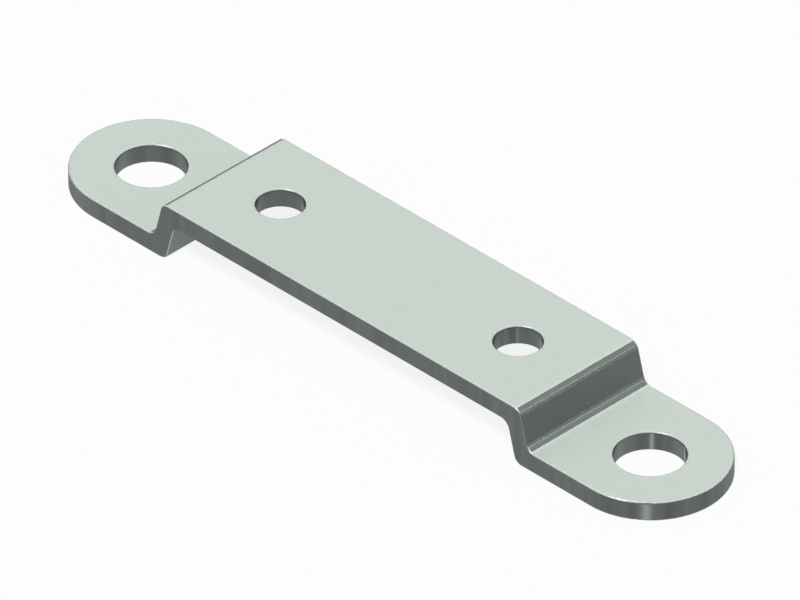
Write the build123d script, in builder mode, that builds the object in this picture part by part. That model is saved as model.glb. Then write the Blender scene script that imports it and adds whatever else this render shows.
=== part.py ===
from build123d import *
from math import radians, tan
import os

# Stamped hat bracket: one strip of steel sheet, blanked with full-round ends, pierced with four
# holes and joggled up and down again, so that a raised plate stands between two flat feet.
# Millimetres. The origin lies midway between the feet, on the plane that they rest on.
# +X runs along the strip, +Y across it, and +Z up from the feet to the plate.

# ---------- driving dimensions ----------
strip_width = 15.0  # across the strip, and the diameter of its round ends
sheet_thickness = 2.0  # the same in the feet, the steps and the plate
clear_height = 4.0  # from the plane of the feet up to the underside of the plate
clear_span = 42.0  # under the plate, between the sharp corners where it meets the steps
step_lean = 15.0  # degrees that a step leans out from upright
bend_radius = 1.0  # on both faces of the sheet, at all four bends

foot_hole_spacing = 63.0  # each foot hole is concentric with its round end
foot_hole_diameter = 6.6  # clears an M6 bolt
plate_hole_spacing = 30.0
plate_hole_diameter = 4.5  # clears an M4 screw

edge_rounding = 0.2  # tumbled edge, where a sheared side meets a face of the sheet
exit_chamfer = 0.15  # deburred edge, where the punch came out of a hole
trim_margin = 1.0  # sheet beyond the blank's outline, cut away with it

# ---------- worked out from the driving dimensions ----------
overall_height = clear_height + sheet_thickness
sheet_end = (foot_hole_spacing + strip_width) / 2 + trim_margin
step_run = clear_height * tan(radians(step_lean))  # how far a step travels along X
# A sharp corner on the upper face lies this much further out than its partner on the lower
# face, which keeps the sloping step as thick as the sheet.
corner_shift = sheet_thickness * tan(radians((90 - step_lean) / 2))

plate_corner_lower = clear_span / 2
foot_corner_lower = plate_corner_lower + step_run
plate_corner_upper = plate_corner_lower + corner_shift
foot_corner_upper = foot_corner_lower + corner_shift

with BuildPart() as hat_bracket:
    # The joggled sheet, seen from the side: along its upper face and back along its lower one.
    with BuildSketch(Plane.XZ) as sheet_section:
        with BuildLine():
            Polyline(
                (-sheet_end, sheet_thickness),
                (-foot_corner_upper, sheet_thickness),
                (-plate_corner_upper, overall_height),
                (plate_corner_upper, overall_height),
                (foot_corner_upper, sheet_thickness),
                (sheet_end, sheet_thickness),
                (sheet_end, 0),
                (foot_corner_lower, 0),
                (plate_corner_lower, clear_height),
                (-plate_corner_lower, clear_height),
                (-foot_corner_lower, 0),
                (-sheet_end, 0),
                close=True,
            )
        make_face()
        bend_corners = sheet_section.vertices().filter_by_position(
            Axis.X, -foot_corner_upper, foot_corner_upper
        )
        fillet(bend_corners, bend_radius)
    extrude(amount=strip_width / 2 + trim_margin, both=True)

    # The blank's outline, seen from above: a strip with full-round ends.
    with BuildSketch(Plane.XY):
        SlotCenterToCenter(foot_hole_spacing, strip_width)
    extrude(amount=overall_height, mode=Mode.INTERSECT)

    # The pierced holes, all on the strip's centre line.
    with GridLocations(foot_hole_spacing, 0, 2, 1):
        Hole(foot_hole_diameter / 2)
    with GridLocations(plate_hole_spacing, 0, 2, 1):
        Hole(plate_hole_diameter / 2)

    # The sheared sides and hole walls are the upright faces. Tumbling rounds all their edges
    # but the upright ones, where a straight side only runs on into a round end, and the lowest
    # edge of each hole, which is chamfered instead.
    sheared_faces = hat_bracket.faces().filter_by(lambda face: abs(face.normal_at().Z) < 0.01)
    hole_walls = sheared_faces.filter_by(lambda face: face.is_circular_concave)
    exit_rims = ShapeList([wall.edges().sort_by(Axis.Z)[0] for wall in hole_walls])
    fillet(sheared_faces.edges().filter_by(Axis.Z, reverse=True) - exit_rims, edge_rounding)
    chamfer(exit_rims, exit_chamfer)

hat_bracket.part.label = "hat_bracket"

os.makedirs("parts", exist_ok=True)
export_step(hat_bracket.part, "parts/hat_bracket.step")
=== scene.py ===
import math

import bpy
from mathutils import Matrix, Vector


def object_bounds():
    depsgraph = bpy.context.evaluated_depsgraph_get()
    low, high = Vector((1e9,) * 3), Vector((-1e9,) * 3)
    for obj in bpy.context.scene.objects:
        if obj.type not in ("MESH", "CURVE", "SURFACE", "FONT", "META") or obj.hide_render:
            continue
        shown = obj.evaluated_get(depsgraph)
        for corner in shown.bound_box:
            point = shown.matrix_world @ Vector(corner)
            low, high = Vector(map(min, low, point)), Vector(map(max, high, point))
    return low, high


# The look of the stamped hat bracket: one piece of steel sheet on white paper, in soft studio
# light. Metres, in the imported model's frame: +X along the strip, +Y across it, +Z up.

# ---------- places on the bracket ----------
STEP_MIDDLE = 0.0226  # from the middle of the bracket to the middle of either step, along X
STEP_REACH = 0.0026  # from there past the step's two bends
FOOT_CENTRE = 0.0315  # from the middle to a foot hole's centre, which is also its round end's
PLATE_HOLE_CENTRE = 0.015
END_RADIUS = 0.0075
FOOT_HOLE_RADIUS = 0.0033
PLATE_HOLE_RADIUS = 0.00225
RIM_WIDTH = 0.0003  # a little more than the tumbled edge is wide
HOLES = (
    (-FOOT_CENTRE, FOOT_HOLE_RADIUS),
    (-PLATE_HOLE_CENTRE, PLATE_HOLE_RADIUS),
    (PLATE_HOLE_CENTRE, PLATE_HOLE_RADIUS),
    (FOOT_CENTRE, FOOT_HOLE_RADIUS),
)

# ---------- finishes and painted light: linear colours ---
LINISHED = (0.587, 0.660, 0.612, 1.0)  # the flats, ground bright by a belt
BEND_PAINTED_SHADE = (0.188, 0.214, 0.202, 1.0)  # the bends: painted shade, darker than the flats as they turn from the light
UNDERSIDE_PAINTED_SHADE = (0.212, 0.238, 0.250, 1.0)  # the underside and the steps' inner faces: painted shade, bluish, as they face down away from the light
STEP_PAINTED_SHADE = (0.107, 0.119, 0.116, 1.0)  # the steps' outer faces: painted shade, dark as they turn from the light
SHEARED_PAINTED_SHADE = (0.142, 0.157, 0.150, 1.0)  # the punch's finish on the sides, round ends and hole walls, painted dark as shade
SHEARED_BLUE_PAINTED_SHADE = (0.140, 0.154, 0.160, 1.0)  # the same painted shade, tinted blue where the punch ran hot
PAINTED_GLINT = (0.53, 0.56, 0.54, 1.0)  # a painted glint: a bright line along the steps' tumbled edges
GRAZING = (0.60, 0.60, 0.60, 1.0)  # how little a dull metal brightens when seen along its surface

# ---------- where each finish and each painted light lies ---
# Each pair is what a part of the surface's unit normal is where the finish begins, and where it
# is whole. The upward part is 1 on a flat top, 0 on an upright wall and -1 underneath.
LINISHED_UP = (0.30, 1.0)  # round the tumbled edges, where it fades slowly into the sides' painted shade
LINISHED_BEND_UP = (0.915, 0.935)  # on the bends, where the bends' painted shade takes over
MINUS_X_SHADE_LEAD = 0.045  # how much sooner it stops on a bend that faces -X, where the painted shade reaches further
MINUS_X_ENDWAYS = (-0.05, -0.20)  # the part along X, on such a bend
BEND_SIDEWAYS = (0.15, 0.05)  # the part along Y, on a bend clear of the sheet's side edges
# where the painted shade of the bends begins, and where it is whole
BEND_SHADE_UP = (0.30, 0.66)
CURVED_UP = (0.27, 0.33)  # bends and tumbled edges, where they leave a step's lean
CURVED_UP_END = (0.98, 0.90)  # and where they leave a flat
# where the painted shade underneath begins, and where it is whole
UNDERNEATH_UP = (0.0, -0.2)
SHEARED_FLATNESS = (0.24, 0.16)  # the upward part without its sign
# where the painted glint line lies:
GLINT_SIDEWAYS = (0.50, 0.68)  # the part along Y, where a side's edge leaves the face
GLINT_SIDEWAYS_END = (0.88, 0.74)  # and where it leaves the side
GLINT_FLATNESS = (0.55, 0.35)
GLINT_INNER_UP = (0.12, -0.12)  # on an edge of a step's inner face, which looks down
GLINT_OUTER = 0.20  # how much of the line an edge of a step's outer face has

# ---------- patterns: cells per metre along X, Y and Z, detail, and seed ----------
PATTERNS = {
    "grain": ((350.0, 5200.0, 350.0), 4.0, 0.0),  # the belt's fine lines along the strip
    "cloud": ((130.0, 130.0, 130.0), 2.0, 3.0),  # broad, faint unevenness
    "streaks": ((900.0, 900.0, 12.0), 2.0, 7.0),  # the punch's lines down the sheared walls
    "spots": ((2600.0, 2600.0, 2600.0), 3.0, 11.0),  # what is left of the mill scale
}

# ---------- lightness, roughness, metal and relief ----------
# A pair named for a pattern holds the least and the most that the pattern gives.
GRAIN_LIGHTNESS = (0.94, 1.06)
CLOUD_LIGHTNESS = (0.985, 1.015)
STREAK_LIGHTNESS = (0.65, 1.35)
SPOT_LIGHTNESS = (0.90, 1.10)
BLUE_CLOUD = (0.35, 0.65)  # the cloud where a sheared wall begins to turn blue, and where it is
GRAIN_ROUGHNESS = (0.45, 0.55)
STREAK_ROUGHNESS = (0.30, 0.42)
ROLLED_ROUGHNESS = 0.45
CURVED_ROUGHNESS = 0.27
LINISHED_METAL = 0.1  # a ground flat scatters light nearly as paint does
STEP_METAL = 0.3
BARE_METAL = 1.0
RELIEF_STRENGTH = 0.15
RELIEF_DEPTH = 0.00001  # of the patterns, from their lowest to their highest
CURVED_RELIEF = 0.5  # the same everywhere, which is smooth

# ---------- painted highlights and shade down the sheared walls ---
# The wall's centre along X and its radius, the mark's place round it in degrees from +X, its half
# width, and how much lighter it paints the steel: a painted highlight where that is more than 0,
# and painted shade where it is less.
PAINTED_WALL_LIGHTS = (
    (FOOT_CENTRE, END_RADIUS, -75.0, 0.0045, -0.12),
    (FOOT_CENTRE, END_RADIUS, -57.0, 0.0009, -0.22),
    (FOOT_CENTRE, END_RADIUS, -48.0, 0.0007, 1.05),
    (FOOT_CENTRE, END_RADIUS, -34.0, 0.0016, -0.22),
    (FOOT_CENTRE, END_RADIUS, -12.0, 0.0035, -0.12),
    (FOOT_CENTRE, END_RADIUS, 22.0, 0.0024, 0.28),
    (-FOOT_CENTRE, END_RADIUS, -106.0, 0.0035, 0.32),
    (FOOT_CENTRE, FOOT_HOLE_RADIUS, 146.0, 0.0008, -0.28),
    (FOOT_CENTRE, FOOT_HOLE_RADIUS, 132.0, 0.00035, 1.20),
    (FOOT_CENTRE, FOOT_HOLE_RADIUS, 120.0, 0.0006, -0.20),
    (FOOT_CENTRE, FOOT_HOLE_RADIUS, 66.0, 0.00015, 2.50),
    (-FOOT_CENTRE, FOOT_HOLE_RADIUS, 150.0, 0.0012, -0.20),
    (-FOOT_CENTRE, FOOT_HOLE_RADIUS, 111.0, 0.0010, -0.26),
    (PLATE_HOLE_CENTRE, PLATE_HOLE_RADIUS, 163.0, 0.0005, 0.40),
    (PLATE_HOLE_CENTRE, PLATE_HOLE_RADIUS, 136.0, 0.00022, 0.55),
    (PLATE_HOLE_CENTRE, PLATE_HOLE_RADIUS, 68.5, 0.00045, 1.10),
    (-PLATE_HOLE_CENTRE, PLATE_HOLE_RADIUS, 71.0, 0.0006, 0.90),
)
# Each hole also has two broad painted highlights: their places, half width as a share of the
# hole's radius, and gain.
SHEEN_PLACES = (75.0, 192.0)
SHEEN_SHARE = 0.45
SHEEN_GAIN = 0.35

# ---------- camera ----------
VIEW_AZIMUTH = 45.0  # degrees, to the right of the bracket's front
VIEW_ELEVATION = 35.264  # degrees, which makes the view isometric
VIEW_WIDTH = 0.07143  # what the frame takes in, across the bracket's middle
LENS = 1200.0  # millimetres, long enough to draw parallel edges parallel
SENSOR = 36.0
AIM_OFFSET = 0.00015  # towards the nearer end, which the lens draws slightly larger
CLIP_NEAR = 0.5  # shares of the camera's distance
CLIP_FAR = 2.0

# ---------- studio ----------
FLOOR_HALF = 1.5
FLOOR_GAP = 0.00005  # keeps the floor clear of the feet's undersides
PAPER = (0.85, 0.85, 0.85, 1.0)
WHITE = (1.0, 1.0, 1.0, 1.0)
WHITE_SHARE = 0.87  # how far the paper is whitened for the eye, which leaves the shadow faint
SKY_TOP = 1.0
SKY_HORIZON = 0.70
SKY_FULL = 0.50  # the height on a unit sphere from which the sky is as bright as at its top
SKY_FILL = 0.20  # the sky's strength for a ray that comes from a dull surface
# Each lamp's name, the way to it, its strength, its width in degrees, and whether only gloss sees
# it. The key lamp lights the dull faces. The others draw the glints on the rims, and the light
# lines along the bends from high and from low.
LAMPS = (
    ("key_lamp", (0.8, -1.0, 1.6), 3.11, 15.0, False),
    ("rim_glint_lamp", (0.00, -0.66, 0.75), 0.95, 30.0, True),
    ("bend_glint_lamp", (0.699, 0.577, 0.42), 0.038, 5.0, True),
    ("low_glint_lamp", (0.816, 0.577, 0.03), 0.034, 5.0, True),
)


# ---------- shader building ----------
def empty_tree(owner):
    """The node tree of a new material or world, with nothing in it."""
    owner.use_nodes = True
    owner.node_tree.nodes.clear()
    return owner.node_tree


def add_node(tree, kind, inputs=None, **settings):
    """A shader node. Inputs take a number, a colour or another node's output, by name or index."""
    made = tree.nodes.new("ShaderNode" + kind)
    for name, value in settings.items():
        setattr(made, name, value)
    for socket, value in (inputs or {}).items():
        if isinstance(value, bpy.types.NodeSocket):
            tree.links.new(value, made.inputs[socket])
        else:
            made.inputs[socket].default_value = value
    return made


def calculate(tree, operation, *values, clamp=False):
    """The result of one Math operation on numbers or outputs."""
    inputs = dict(enumerate(values))
    return add_node(tree, "Math", inputs, operation=operation, use_clamp=clamp).outputs[0]


def fade(tree, value, start, end):
    """0 up to start, 1 from end on, and a smooth S between them."""
    inputs = {"Value": value, "From Min": start, "From Max": end}
    return add_node(tree, "MapRange", inputs, interpolation_type="SMOOTHSTEP").outputs[0]


def rescale(tree, value, low, high):
    """A pattern of 0 to 1, stretched to run from low to high."""
    return add_node(tree, "MapRange", {"Value": value, "To Min": low, "To Max": high}).outputs[0]


def mix_numbers(tree, amount, first, second):
    """The first number where amount is 0, the second where it is 1."""
    return add_node(tree, "Mix", {0: amount, 2: first, 3: second}, data_type="FLOAT").outputs[0]


def mix_vectors(tree, amount, first, second):
    """The first vector where amount is 0, the second where it is 1."""
    return add_node(tree, "Mix", {0: amount, 4: first, 5: second}, data_type="VECTOR").outputs[1]


def mix_colours(tree, amount, first, second):
    """The first colour where amount is 0, the second where it is 1."""
    return add_node(tree, "Mix", {0: amount, 6: first, 7: second}, data_type="RGBA").outputs[2]


def join(tree, along=0.0, across=0.0, up=0.0):
    """The vector with these parts along X, Y and Z."""
    return add_node(tree, "CombineXYZ", {0: along, 1: across, 2: up}).outputs[0]


def split(tree, vector):
    """A vector's parts along X, Y and Z."""
    return add_node(tree, "SeparateXYZ", {0: vector}).outputs


def scale_vector(tree, vector, amount):
    """A vector or a colour, times the amount."""
    return add_node(tree, "VectorMath", {0: vector, "Scale": amount}, operation="SCALE").outputs[0]


def noise(tree, place, stretch, detail, seed):
    """Noise of 0 to 1 with this many cells per metre along X, Y and Z. The seed is the place along
    a fourth axis, so that two patterns don't match."""
    mapped = add_node(tree, "Mapping", {"Vector": place, "Scale": stretch}).outputs[0]
    inputs = {"Vector": mapped, "W": seed, "Scale": 1.0, "Detail": detail}
    return add_node(tree, "TexNoise", inputs, noise_dimensions="4D").outputs["Fac"]


# ---------- the steel: which way the surface faces ----------
def spoke_from_hole(tree, along, across, from_middle):
    """The line from a hole's centre to the point, and the radius to the outside of that hole's
    rim. The hole is the foot's from the step's middle outwards, and the plate's from there
    inwards, on the point's own side of the bracket."""
    on_foot = calculate(tree, "GREATER_THAN", from_middle, STEP_MIDDLE)
    centre = mix_numbers(tree, on_foot, PLATE_HOLE_CENTRE, FOOT_CENTRE)
    rim = mix_numbers(tree, on_foot, PLATE_HOLE_RADIUS + RIM_WIDTH, FOOT_HOLE_RADIUS + RIM_WIDTH)
    beyond = calculate(tree, "SUBTRACT", from_middle, centre)
    side = calculate(tree, "SIGN", along)
    return join(tree, calculate(tree, "MULTIPLY", beyond, side), across), rim


def facing_along(tree, spoke, outward, upward):
    """The unit vector with this upward part, u, that points along the spoke where outward is 1 and
    back along it where outward is -1: the spoke's own direction times the square root of 1 - u
    squared, and u straight up."""
    squared = calculate(tree, "MULTIPLY", upward, upward)
    level = calculate(tree, "SQRT", calculate(tree, "SUBTRACT", 1.0, squared, clamp=True))
    direction = add_node(tree, "VectorMath", {0: spoke}, operation="NORMALIZE").outputs[0]
    plan = scale_vector(tree, direction, calculate(tree, "MULTIPLY", level, outward))
    height = join(tree, up=upward)
    return add_node(tree, "VectorMath", {0: plan, 1: height}, operation="ADD").outputs[0]


def facing_round_rims(tree, along, across, normal, upward):
    """The way that the surface faces. Round the ends and the holes it is worked out: straight out
    from the end's centre, or in towards the hole's, and as steep as the mesh says. Elsewhere it is
    the mesh's own."""
    from_middle = calculate(tree, "ABSOLUTE", along)
    spoke, rim = spoke_from_hole(tree, along, across, from_middle)
    distance = add_node(tree, "VectorMath", {0: spoke}, operation="LENGTH").outputs["Value"]
    at_hole = calculate(tree, "LESS_THAN", distance, rim)
    past_centre = calculate(tree, "GREATER_THAN", from_middle, FOOT_CENTRE)
    near_edge = calculate(tree, "GREATER_THAN", distance, END_RADIUS - RIM_WIDTH)
    at_end = calculate(tree, "MULTIPLY", past_centre, near_edge)
    outward = calculate(tree, "SUBTRACT", at_end, at_hole)
    worked_out = facing_along(tree, spoke, outward, upward)
    return mix_vectors(tree, calculate(tree, "ABSOLUTE", outward), normal, worked_out)


# ---------- the steel: which finish a point has ----------
def painted_glint_line(tree, at_step, aslant, upward, flatness):
    """How much of the painted glint line a point has, 0 to 1: a bright line painted where a
    highlight falls. It runs halfway round a side's tumbled edge where that climbs a step, whole
    beside the step's inner face and faint beside its outer one: the product of a fade for each."""
    on_edge = calculate(
        tree,
        "MULTIPLY",
        fade(tree, aslant, *GLINT_SIDEWAYS),
        fade(tree, aslant, *GLINT_SIDEWAYS_END),
    )
    climbing = calculate(tree, "MULTIPLY", fade(tree, flatness, *GLINT_FLATNESS), at_step)
    within = rescale(tree, fade(tree, upward, *GLINT_INNER_UP), GLINT_OUTER, 1.0)
    return calculate(tree, "MULTIPLY", calculate(tree, "MULTIPLY", on_edge, climbing), within)


def linished_share(tree, at_step, aslant, endways, upward):
    """How far the flats' own bright colour reaches, 0 to 1: a fade on the upward part. Round the
    tumbled edges it is a slow one, fading into the sides' painted shade. On a bend it is short and
    gives way to the bends' painted shade, which reaches further up a bend that faces -X, where the
    upward part counts for less."""
    on_bend = calculate(tree, "MULTIPLY", at_step, fade(tree, aslant, *BEND_SIDEWAYS))
    lost = calculate(tree, "MULTIPLY", fade(tree, endways, *MINUS_X_ENDWAYS), MINUS_X_SHADE_LEAD)
    reached = calculate(tree, "SUBTRACT", upward, lost)
    round_edges = fade(tree, upward, *LINISHED_UP)
    return mix_numbers(tree, on_bend, round_edges, fade(tree, reached, *LINISHED_BEND_UP))


def finish_shares(tree, along, endways, sideways, upward):
    """How much of each finish and painted shade a point has, 0 to 1: a fade on the upward part of
    its normal for each. The linished flats and the painted glint line also go by the other parts
    and by the steps' places. Curved stands for every place that bends or rounds over from a flat."""
    flatness = calculate(tree, "ABSOLUTE", upward)
    aslant = calculate(tree, "ABSOLUTE", sideways)
    from_middle = calculate(tree, "ABSOLUTE", along)
    from_step = calculate(tree, "ABSOLUTE", calculate(tree, "SUBTRACT", from_middle, STEP_MIDDLE))
    at_step = calculate(tree, "LESS_THAN", from_step, STEP_REACH)
    return {
        "linished": linished_share(tree, at_step, aslant, endways, upward),
        "painted_bend_shade": fade(tree, upward, *BEND_SHADE_UP),
        "curved": calculate(
            tree, "MULTIPLY", fade(tree, upward, *CURVED_UP), fade(tree, upward, *CURVED_UP_END)
        ),
        "underneath": fade(tree, upward, *UNDERNEATH_UP),
        "sheared": fade(tree, flatness, *SHEARED_FLATNESS),
        "painted_glint": painted_glint_line(tree, at_step, aslant, upward, flatness),
    }


# ---------- the steel: how each finish looks ----------
def painted_wall_lighting(tree, along, across):
    """How much lighter the painted highlights leave the wall, and how much darker the painted
    shade: the sum, over the marks, of the gain times a smooth fade from 1 at the mark's middle to
    0 at its half width, whatever the height."""
    plan = join(tree, along, across)
    sheens = [
        (centre, radius, degrees, SHEEN_SHARE * radius, SHEEN_GAIN)
        for centre, radius in HOLES
        for degrees in SHEEN_PLACES
    ]
    total = 0.0
    for centre, radius, degrees, half_width, gain in [*PAINTED_WALL_LIGHTS, *sheens]:
        angle = math.radians(degrees)
        spot = (centre + radius * math.cos(angle), radius * math.sin(angle), 0.0)
        between = add_node(tree, "VectorMath", {0: plan, 1: spot}, operation="DISTANCE")
        mark = fade(tree, between.outputs["Value"], half_width, 0.0)
        total = calculate(tree, "ADD", total, calculate(tree, "MULTIPLY", mark, gain))
    return total


def by_face(tree, share, rolled, sheared, linished):
    """The number for the face that a point is on, blended by the shares: the linished one over the
    sheared one, and that over the rolled one."""
    dark = mix_numbers(tree, share["sheared"], rolled, sheared)
    return mix_numbers(tree, share["linished"], dark, linished)


def steel_colour(tree, share, pattern):
    """The steps' painted shade, with each other colour laid over it in turn, by its share: the
    bends' painted shade, the painted shade underneath, the sheared walls' painted shade, the
    painted glint line, and the flats' own colour.
    """
    blueness = fade(tree, pattern["cloud"], *BLUE_CLOUD)
    layers = {
        "painted_bend_shade": BEND_PAINTED_SHADE,
        "underneath": UNDERSIDE_PAINTED_SHADE,
        "sheared": mix_colours(tree, blueness, SHEARED_PAINTED_SHADE, SHEARED_BLUE_PAINTED_SHADE),
        "painted_glint": PAINTED_GLINT,
        "linished": LINISHED,
    }
    # the steps' painted shade lies under every other colour
    colour = STEP_PAINTED_SHADE
    for finish, layer in layers.items():
        colour = mix_colours(tree, share[finish], colour, layer)
    return colour


def steel_lightness(tree, share, pattern, painted_lights):
    """What the colour is multiplied by: scale's spots on a rolled face, streaks and painted
    highlights and shade on a sheared one, and the belt's grain times a cloud on a linished one."""
    spotted = rescale(tree, pattern["spots"], *SPOT_LIGHTNESS)
    streaked = calculate(tree, "ADD", rescale(tree, pattern["streaks"], *STREAK_LIGHTNESS), painted_lights)
    grained = calculate(
        tree,
        "MULTIPLY",
        rescale(tree, pattern["grain"], *GRAIN_LIGHTNESS),
        rescale(tree, pattern["cloud"], *CLOUD_LIGHTNESS),
    )
    return by_face(tree, share, spotted, streaked, grained)


def steel_roughness(tree, share, pattern):
    """One roughness for rolled faces and a lower one for curved ones. Streaks vary it on sheared
    faces and the grain on linished ones."""
    streaked = rescale(tree, pattern["streaks"], *STREAK_ROUGHNESS)
    grained = rescale(tree, pattern["grain"], *GRAIN_ROUGHNESS)
    flat = by_face(tree, share, ROLLED_ROUGHNESS, streaked, grained)
    return mix_numbers(tree, share["curved"], flat, CURVED_ROUGHNESS)


def steel_metal(tree, share):
    """Bare metal on sheared and curved faces and underneath, and duller on the steps' outer faces
    and the linished flats."""
    bare = calculate(tree, "MAXIMUM", share["curved"], share["underneath"])
    rolled = mix_numbers(tree, bare, STEP_METAL, BARE_METAL)
    return by_face(tree, share, rolled, BARE_METAL, LINISHED_METAL)


def steel_relief(tree, share, pattern, facing):
    """The way that the surface faces, ruffled by its own face's pattern, and smooth where it is
    curved."""
    flat = by_face(tree, share, pattern["spots"], pattern["streaks"], pattern["grain"])
    inputs = {
        "Strength": RELIEF_STRENGTH,
        "Distance": RELIEF_DEPTH,
        "Height": mix_numbers(tree, share["curved"], flat, CURVED_RELIEF),
        "Normal": facing,
    }
    return add_node(tree, "Bump", inputs).outputs[0]


def steel():
    """Bare sheet steel, its colour told apart by how its surface lies: linished flats in their own
    colour, and painted shade on the bends, on the steps' outer faces, underneath and on the
    sheared walls. A painted glint runs up the steps' side edges, and painted highlights and shade
    streak the round ends and the hole walls."""
    material = bpy.data.materials.new("bracket_steel")
    tree = empty_tree(material)
    coordinates = add_node(tree, "TexCoord").outputs
    place = coordinates["Object"]
    normal = coordinates["Normal"]
    along, across, _ = split(tree, place)
    endways, sideways, upward = split(tree, normal)

    share = finish_shares(tree, along, endways, sideways, upward)
    pattern = {name: noise(tree, place, *recipe) for name, recipe in PATTERNS.items()}
    painted_lights = painted_wall_lighting(tree, along, across)
    lightness = steel_lightness(tree, share, pattern, painted_lights)
    facing = facing_round_rims(tree, along, across, normal, upward)
    inputs = {
        "Base Color": scale_vector(tree, steel_colour(tree, share, pattern), lightness),
        "Metallic": steel_metal(tree, share),
        "Roughness": steel_roughness(tree, share, pattern),
        "Specular Tint": GRAZING,
        "Normal": steel_relief(tree, share, pattern, facing),
    }
    shader = add_node(tree, "BsdfPrincipled", inputs).outputs[0]
    add_node(tree, "OutputMaterial", {"Surface": shader})
    return material


# ---------- the studio ----------
def floor_paper():
    """White paper. The eye, gloss and glass see it nearly white, with the bracket's soft shadow;
    from below it lets them through."""
    material = bpy.data.materials.new("floor_paper")
    tree = empty_tree(material)
    rays = add_node(tree, "LightPath").outputs
    by_gloss_or_glass = calculate(
        tree, "MAXIMUM", rays["Is Glossy Ray"], rays["Is Transmission Ray"]
    )
    seen = calculate(tree, "MAXIMUM", rays["Is Camera Ray"], by_gloss_or_glass)
    paper = add_node(tree, "BsdfDiffuse", {"Color": PAPER}).outputs[0]
    white = add_node(tree, "Emission", {"Color": WHITE, "Strength": 1.0}).outputs[0]
    whitening = calculate(tree, "MULTIPLY", seen, WHITE_SHARE)
    whitened = add_node(tree, "MixShader", {0: whitening, 1: paper, 2: white}).outputs[0]
    below = add_node(tree, "NewGeometry").outputs["Backfacing"]
    clear = add_node(tree, "BsdfTransparent").outputs[0]
    surface = add_node(tree, "MixShader", {0: below, 1: whitened, 2: clear}).outputs[0]
    add_node(tree, "OutputMaterial", {"Surface": surface})
    return material


def floor(lowest):
    """A flat square just under the bracket, with its corners at plus and minus its half width."""
    square = ((-1, -1), (1, -1), (1, 1), (-1, 1))
    corners = [(x * FLOOR_HALF, y * FLOOR_HALF, lowest - FLOOR_GAP) for x, y in square]
    mesh = bpy.data.meshes.new("floor")
    mesh.from_pydata(corners, [], [(0, 1, 2, 3)])
    mesh.materials.append(floor_paper())
    made = bpy.data.objects.new("floor", mesh)
    bpy.context.scene.collection.objects.link(made)


def sky():
    """A white dome as the soft light, dimmer towards the horizon: a smooth fade on the height of
    the direction. The eye and gloss see it whole, and a ray from a dull surface sees it dimmed,
    because the key lamp lights that too."""
    world = bpy.data.worlds.new("studio_dome")
    tree = empty_tree(world)
    height = split(tree, add_node(tree, "TexCoord").outputs["Generated"])[2]
    brightness = rescale(tree, fade(tree, height, 0.0, SKY_FULL), SKY_HORIZON, SKY_TOP)
    dull = add_node(tree, "LightPath").outputs["Is Diffuse Ray"]
    strength = mix_numbers(tree, dull, 1.0, SKY_FILL)
    dome = add_node(tree, "Background", {"Color": brightness, "Strength": strength}).outputs[0]
    add_node(tree, "OutputWorld", {"Surface": dome})
    bpy.context.scene.world = world


def sun(name, direction, strength, width, glint):
    """A lamp far away in that direction, as wide as that angle in degrees. A glint lamp lights
    gloss alone; any other stands behind a large diffuser, and lights dull surfaces alone."""
    data = bpy.data.lights.new(name, "SUN")
    data.energy = strength
    data.angle = math.radians(width)
    made = bpy.data.objects.new(name, data)
    made.rotation_mode = "QUATERNION"
    made.rotation_quaternion = Vector(direction).to_track_quat("Z", "Y")
    made.visible_glossy = glint
    made.visible_diffuse = not glint
    bpy.context.scene.collection.objects.link(made)


def camera(middle):
    """A long lens at the isometric viewing angle, as far back as the view's width times the lens
    over the sensor."""
    azimuth = math.radians(VIEW_AZIMUTH)
    elevation = math.radians(VIEW_ELEVATION)
    back = Vector((
        math.sin(azimuth) * math.cos(elevation),
        -math.cos(azimuth) * math.cos(elevation),
        math.sin(elevation),
    ))
    distance = VIEW_WIDTH * LENS / SENSOR
    data = bpy.data.cameras.new("camera")
    data.sensor_width = SENSOR
    data.lens = LENS
    data.clip_start = CLIP_NEAR * distance
    data.clip_end = CLIP_FAR * distance
    made = bpy.data.objects.new("camera", data)
    made.location = middle + Vector((AIM_OFFSET, 0.0, 0.0)) + back * distance
    made.rotation_mode = "QUATERNION"
    made.rotation_quaternion = back.to_track_quat("Z", "Y")
    bpy.context.scene.collection.objects.link(made)
    bpy.context.scene.camera = made


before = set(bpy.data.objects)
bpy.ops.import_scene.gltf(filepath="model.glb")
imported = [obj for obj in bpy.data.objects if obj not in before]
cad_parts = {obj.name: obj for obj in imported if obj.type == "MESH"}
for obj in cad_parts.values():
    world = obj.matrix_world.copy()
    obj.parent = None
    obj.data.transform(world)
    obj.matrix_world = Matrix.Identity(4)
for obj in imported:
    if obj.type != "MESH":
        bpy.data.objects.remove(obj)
cad_low, cad_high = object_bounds()

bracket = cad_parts["hat_bracket"]
bracket.material_slots[0].material = steel()

floor(cad_low.z)
sky()
for lamp in LAMPS:
    sun(*lamp)
camera((cad_low + cad_high) / 2)
bpy.context.scene.view_settings.view_transform = "Standard"
